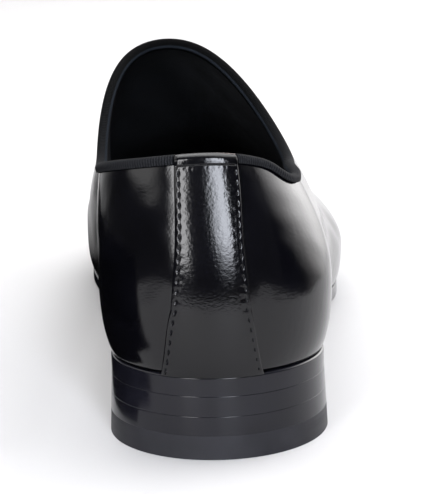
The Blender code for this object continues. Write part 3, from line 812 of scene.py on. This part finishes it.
# the ribbon darkens ahead of the quarters, a painted shade
alongShoe = partsOf(ribTree, objectSpots(ribTree))["Y"]
throatShadeShare = mapTo(ribTree, alongShoe, 0.0, 1.0, ribbon["throatShadeFrom"], ribbon["throatShadeTo"])
ribTint = mixColours(ribTree, ribs, ribbon["dark"], ribbon["light"])
ribTint = blendColours(ribTree, throatShadeShare, ribTint, (*ribbon["throatShade"], 1.0))
ribRelief = addBump(ribTree, ribs, *ribbon["ribBump"])
plugAll(ribTree, ribShader, dict(
    Base_Color=blendColours(ribTree, glintShare, ribTint, (*ribbon["line"], 1.0)),
    Roughness=mapTo(ribTree, weave, *ribbon["roughness"]),
    Normal=addBump(ribTree, weave, *ribbon["weaveBump"], ribRelief)))
ribbonMesh = shapedSheet(2 * ribbon["steps"], len(ribbonLine) - 1, ribbonPlace, ribbonCloth)
addPiece("collarRibbon", ribbonMesh, ribMaterial, ("collar_binding",), (ribbon["thickness"], 0.0))


# Sole, heel and sock share the lower edge of the upper, grown or drawn in
def lowerEdge(station, side, grow):
    turn = sideTurn(side, -shoe["undercut"])
    before, after = stationsBeside(station)
    run = lastPoints(after, turn)[:, :2] - lastPoints(before, turn)[:, :2]
    out = unit(np.stack((run[:, 1], -run[:, 0]), -1)) * side
    return lastPoints(station, turn)[:, :2] + out * np.asarray(grow)[..., None]


def acrossFoot(station, share, grow):
    inner, outer = [lowerEdge(station, side, grow) for side in (medial, lateral)]
    return inner + (outer - inner) * share[:, None]


def footStation(share):
    rear = back + (shoe["footSplit"] - back) * 2 * np.minimum(share, 0.5)
    return rear + (shoe["length"] - shoe["footSplit"]) * np.sin(np.maximum(2 * share - 1, 0.0) * math.pi / 2)


def soleTop(station):
    return featherLine(station) - shoe["gap"]


def soleBottom(station):
    return np.maximum(soleTop(station) - soleThick(station), 0.0)


def roundedSide(levels, lowRound, highRound):
    # way from the nearer face and inset of each level; a holding level keeps the side between flat
    hold = 0.2
    turns = np.linspace(0.0, math.pi / 2, levels)
    low = [(lowRound * (1 - math.cos(a)), lowRound * (1 - math.sin(a)), 0) for a in turns]
    high = [(highRound * (1 - math.sin(a)), highRound * (1 - math.cos(a)), 1) for a in turns]
    return low + [(lowRound + hold, 0.0, 0), (highRound + hold, 0.0, 1)] + high


def blockLevel(sides, level, low, high, lowShare=1.0):
    # lowShare lessens the round of the lower edge
    rise, inset, fromTop = np.array(sides)[level].T
    share = np.where(fromTop == 1, 1.0, lowShare)
    return np.where(fromTop == 1, high - rise, low + rise * share), inset * share


# Outsole: its lower edge is hardly rounded over the heel
outsole = dict(ledge=0.55, lowRound=1.0, highRound=0.7, levels=4, steps=150, across=4,
               overHeel=0.06, heelEnds=(72.0, 84.0))
outsoleSides = roundedSide(outsole["levels"], outsole["lowRound"], outsole["highRound"])


def outsolePlace(u, v, level):
    station = footStation(v)
    lowShare = outsole["overHeel"] + (1 - outsole["overHeel"]) * softStep(station, *outsole["heelEnds"])
    z, inset = blockLevel(outsoleSides, level, soleBottom(station), soleTop(station), lowShare)
    return np.column_stack((acrossFoot(station, u, outsole["ledge"] - inset), z))


edgeLook = dict(
    dark=(0.003, 0.003, 0.005), light=(0.006, 0.006, 0.009), wearAndHighlight=(0.05, 0.05, 0.055),
    roughness=(0.12, 0.20), shine=0.32, patchScale=90.0, patchBump=(0.05, 0.4),
    layerRun=(0.12, 0.12, 1.0), layerScale=900.0, layerBump=(0.05, 0.1),
    scratchRun=((1.0, 1.0, 0.12), (0.0, 0.6, 0.3)), scratchScale=420.0, wornFrom=0.74, wornSoft=0.06,
    # a painted highlight along the lower rims, broken into dashes and faint on faces that look down
    breakRun=(1.0, 1.0, 0.1), breakScale=130.0, breakSpan=(0.5, 0.7), rimHighlight=0.4,
    underHighlight=0.12, underSpan=(-0.9, -0.5))
soleLeather = satinEdge("burnished sole leather", edgeLook)
outsoleMesh = shapedBlock(outsole["across"], outsole["steps"], len(outsoleSides), outsolePlace)
addPiece("outsoleLeather", outsoleMesh, soleLeather, ("outsole",), sharp=60.0)

# Heel: two leather lifts on a rubber top piece, hollow at the breast
heel = dict(breast=78.0, breastSag=5.0, sagPower=8, ledge=0.6, flare=0.9, topPiece=0.38, lift=0.31,
            edgeRound=0.06, seatFill=0.3, levels=3, steps=60, across=10)
heelSides = roundedSide(heel["levels"], heel["edgeRound"], heel["edgeRound"])


def heelPlace(lowShare, highShare):
    def place(u, v, level):
        station = back + (heel["breast"] - back) * v
        seat = soleBottom(station) - shoe["gap"]
        fill = 0.0 if highShare < 1.0 else heel["seatFill"]
        z, inset = blockLevel(heelSides, level, seat * lowShare, seat * highShare + fill)
        flare = heel["flare"] * (1 - z / seat)
        plan = acrossFoot(station, u, heel["ledge"] + flare - inset)
        ahead = np.maximum(station / heel["breast"], 0.0) ** heel["sagPower"]
        hollow = heel["breastSag"] * 4 * u * (1 - u) * ahead
        return np.column_stack((plan[:, 0], plan[:, 1] - hollow, z))
    return place


liftLook = dict(edgeLook, layerScale=1300.0, layerBump=(0.06, 0.1))
liftLeather = satinEdge("burnished heel leather", liftLook)
rubberLook = dict(edgeLook, dark=(0.012, 0.012, 0.0145), light=(0.019, 0.019, 0.0225), shine=0.16,
                  roughness=(0.44, 0.54), layerScale=500.0, wornFrom=0.72, rimHighlight=0.1)
topRubber = satinEdge("worn top piece rubber", rubberLook)
middleShare = heel["topPiece"] + heel["lift"]
for name, low, high, material, slot, node in (
        ("heelTopPiece", 0.0, heel["topPiece"], topRubber, "top_piece_rubber", "top_piece"),
        ("heelLiftLower", heel["topPiece"], middleShare, liftLeather, "heel_leather", "heel_lift_lower"),
        ("heelLiftUpper", middleShare, 1.0, liftLeather, "heel_leather", "heel_lift_upper")):
    heelMesh = shapedBlock(heel["across"], heel["steps"], len(heelSides), heelPlace(low, high))
    addPiece(name, heelMesh, material, (node,), sharp=60.0)

# Sock: leather board inside, a little hollow across
sock = dict(inset=2.6, thickness=2.6, lowRound=0.2, edgeRound=0.9, levels=4, steps=100, across=12, crown=0.5)
sockSides = roundedSide(sock["levels"], sock["lowRound"], sock["edgeRound"])


def sockPlace(u, v, level):
    station = footStation(v)
    z, inset = blockLevel(sockSides, level, featherLine(station), featherLine(station) + sock["thickness"])
    top = level == len(sockSides) - 1
    z = z - np.where(top, sock["crown"] * 4 * u * (1 - u) * np.sin(v * math.pi), 0.0)
    return np.column_stack((acrossFoot(station, u, -sock["inset"] - inset), z))


sockMesh = shapedBlock(sock["across"], sock["steps"], len(sockSides), sockPlace)
addPiece("insoleSock", sockMesh, blackLining, ("insole",), sharp=60.0)

# Floor: pale sheets; those further behind and beside the shoe aren't mirrored in the leather
floor = dict(colour=(0.553, 0.546, 0.547), grainScale=300.0, grainBump=(0.03, 0.2), reach=6.0,
             mirrorFrom=-0.36, mirrorSides=(-0.245, 0.235), height=-0.00005)


def addSheet(name, corner, across, along, material):
    # plain sheet of the studio from its corner, with a map of the sheet
    mesh = startGrid(1, 1, lambda u, v: (u, v))
    for vertex in mesh.verts:
        u, v = vertex.co.x + 0.5, vertex.co.y + 0.5
        vertex.co = Vector(corner) + Vector(across) * u + Vector(along) * v
    sheet = addObject(name, mesh, material)
    return sheet


floorMaterial, floorTree, floorShader = startMaterial(
    "pale floor", Base_Color=(*floor["colour"], 1.0), Roughness=0.6, Specular_IOR_Level=0.2)
floorGrain = noiseOf(floorTree, objectSpots(floorTree), floor["grainScale"])
plugAll(floorTree, floorShader, dict(Normal=addBump(floorTree, floorGrain, *floor["grainBump"])))
reach, mirrorFrom = floor["reach"], floor["mirrorFrom"]
innerX, outerX = floor["mirrorSides"]
for name, fromX, toX, fromY, toY in (("floorNear", innerX, outerX, mirrorFrom, reach),
                                     ("floorInner", -reach, innerX, mirrorFrom, reach),
                                     ("floorOuter", outerX, reach, mirrorFrom, reach),
                                     ("floorFar", -reach, reach, -reach, mirrorFrom)):
    floorSheet = addSheet(name, (fromX, fromY, floor["height"]), (toX - fromX, 0.0, 0.0),
                          (0.0, toY - fromY, 0.0), floorMaterial)
    floorSheet.visible_glossy = name == "floorNear"

# Black cards beside the inner side, seen only in reflections and soft ahead, paint a dark reflection of shade
# into the leather: two lie and one stands
card = dict(near=-0.075, far=-0.40, lieBack=-0.158, strip=0.02, stripBack=-0.135, lean=0.03,
            stand=-0.128, standBack=-0.16, top=0.045, front=0.34, soft=0.5, height=0.0002)
blackMaterial, blackTree, blackShader = startMaterial(
    "black card", Base_Color=(0.002, 0.002, 0.002, 1.0), Roughness=1.0, Specular_IOR_Level=0.0)
alongCard = partsOf(blackTree, clothSpots(blackTree))["Y"]
plugAll(blackTree, blackShader, dict(
    Alpha=mapTo(blackTree, alongCard, 1.0, 0.0, 1.0 - card["soft"], 1.0)))
lying, standing = (card["near"] - card["far"], 0.0, 0.0), (0.0, 0.0, card["top"])
for name, fromX, fromY, across, lean in (
        ("blackCardLying", card["far"], card["lieBack"], lying, card["lean"]),
        ("blackCardNear", card["near"], card["stripBack"], (card["strip"], 0.0, 0.0), card["lean"]),
        ("blackCardStanding", card["stand"], card["standBack"], standing, 0.0)):
    blackCard = addSheet(name, (fromX, fromY, card["height"]), across,
                         (lean, card["front"] - fromY, 0.0), blackMaterial)
    blackCard.visible_camera = blackCard.visible_diffuse = blackCard.visible_shadow = False

# Studio: soft light cards round the heel, a soft panel overhead and pale surroundings ahead
studio = dict(
    aim=(0.0, -0.147, 0.065), distance=1.25,
    # from and to azimuth, from and to elevation, brightness, soft shares at these edges, colour, cut corner
    keyCard=(-1.0, 21.5, -5.0, 50.0, 20.5, (0.55, 0.14, 0.165, 0.10), (0.87, 0.91, 1.0), (0.37, 0.20)),
    edgeCard=(-38.5, -20.5, -6.0, 48.0, 11.8, (0.20, 0.12, 0.09, 0.10), (0.98, 0.98, 1.0), None),
    sideCard=(70.0, 172.0, -20.0, 42.0, 6.7, (0.45, 0.40, 0.42, 0.30), (1.0, 0.985, 0.985), (0.62, 0.77)),
    innerCard=(-92.0, -44.0, 9.0, 42.0, 2.0, (0.30, 0.30, 0.16, 0.20), (1.0, 0.99, 0.98), None),
    vampCard=(-150.0, -84.0, 24.0, 56.0, 2.2, (0.35, 0.25, 0.30, 0.30), (1.0, 0.99, 0.98), None),
    cornerSoft=(0.7, 1.3),
    overhead=dict(place=(0.1, 0.7, 1.95), aim=(0.0, 0.35, 0.0), width=2.2, length=2.2, power=41.0),
    surround=dict(axis=(0.30, 0.78, 0.55), low=0.05, high=0.80, dim=0.06, bright=1.2, seen=0.95,
                  colour=(0.985, 0.99, 1.0)),
)


def softEdge(tree, value, low, high):
    rising, falling = mapTo(tree, value, 0.0, 1.0, 0.0, low), mapTo(tree, value, 1.0, 0.0, 1.0 - high, 1.0)
    return timesOf(tree, rising, falling)


def addLightCard(name):
    fromAzimuth, toAzimuth, fromHeight, toHeight, bright, soft, colour, corner = studio[name]
    turn = math.radians((fromAzimuth + toAzimuth) / 2)
    reach, aim = studio["distance"], Vector(studio["aim"])
    width = 2 * reach * math.tan(math.radians(toAzimuth - fromAzimuth) / 2)
    low, high = [aim.z + reach * math.tan(math.radians(angle)) for angle in (fromHeight, toHeight)]
    sideways = Vector((math.cos(turn), math.sin(turn), 0.0)) * width
    middle = Vector((aim.x + math.sin(turn) * reach, aim.y - math.cos(turn) * reach, low))
    material, tree, shader = startMaterial(name + " cloth", Base_Color=(0.0, 0.0, 0.0, 1.0), Roughness=1.0,
                                           Specular_IOR_Level=0.0, Emission_Color=(*colour, 1.0))
    spots = partsOf(tree, clothSpots(tree))
    across, climb = spots["X"], spots["Y"]
    lit = timesOf(tree, softEdge(tree, across, *soft[:2]), softEdge(tree, climb, *soft[2:]))
    if corner:
        # the lower corner on the inner side is cut off on a slant
        slant = mathOf(tree, "ADD", timesOf(tree, across, 1 / corner[0]), timesOf(tree, climb, 1 / corner[1]))
        lit = timesOf(tree, lit, mapTo(tree, slant, 0.0, 1.0, *studio["cornerSoft"]))
    plugAll(tree, shader, dict(Emission_Strength=timesOf(tree, lit, bright)))
    lightCard = addSheet(name, middle - sideways / 2, sideways, (0.0, 0.0, high - low), material)
    lightCard.visible_camera = lightCard.visible_shadow = False


for cardName in ("keyCard", "edgeCard", "sideCard", "innerCard", "vampCard"):
    addLightCard(cardName)
overhead = studio["overhead"]
panelLight = bpy.data.lights.new("overheadPanel", "AREA")
panelLight.shape, panelLight.energy = "RECTANGLE", overhead["power"]
panelLight.size, panelLight.size_y = overhead["width"], overhead["length"]
panel = bpy.data.objects.new("overheadPanel", panelLight)
panel.location = overhead["place"]
panel.rotation_euler = (Vector(overhead["aim"]) - panel.location).to_track_quat("-Z", "Y").to_euler()
bpy.context.scene.collection.objects.link(panel)

world = bpy.data.worlds.new("pale surroundings")
bpy.context.scene.world = world
world.use_nodes = True
sky, surround = world.node_tree, studio["surround"]
facing = addNode(sky, "VectorMath", {"operation": "DOT_PRODUCT"})
plug(sky, facing.inputs[0], addNode(sky, "TexCoord").outputs["Generated"])
plug(sky, facing.inputs[1], Vector(surround["axis"]).normalized())
glow = mapTo(sky, facing.outputs["Value"], surround["dim"], surround["bright"],
             surround["low"], surround["high"])
shown = addNode(sky, "Mix", {"data_type": "FLOAT"}, Factor=addNode(sky, "LightPath").outputs["Is Camera Ray"])
plug(sky, shown.inputs[2], glow)
plug(sky, shown.inputs[3], surround["seen"])
plugAll(sky, sky.nodes["Background"], dict(Strength=shown.outputs[0], Color=(*surround["colour"], 1.0)))
print("studio lit")

# Camera: straight behind and a little above, with the slight roll of the photograph
view = dict(place=(0.00265, -0.65277, 0.18658), aim=(0.00137, -0.10967, 0.05628), roll=-1.486,
            lens=130.1, sensor=36.0)
cameraData = bpy.data.cameras.new("viewCamera")
cameraData.lens, cameraData.sensor_width, cameraData.sensor_fit = view["lens"], view["sensor"], "AUTO"
cameraData.clip_start, cameraData.clip_end = 0.01, 50.0
camera = bpy.data.objects.new("viewCamera", cameraData)
facingShoe = (Vector(view["aim"]) - Vector(view["place"])).to_track_quat("-Z", "Y")
camera.location = view["place"]
camera.rotation_euler = (facingShoe @ Quaternion((0, 0, 1), math.radians(view["roll"]))).to_euler()
bpy.context.scene.collection.objects.link(camera)
bpy.context.scene.camera = camera
bpy.context.scene.view_settings.view_transform = "Standard"
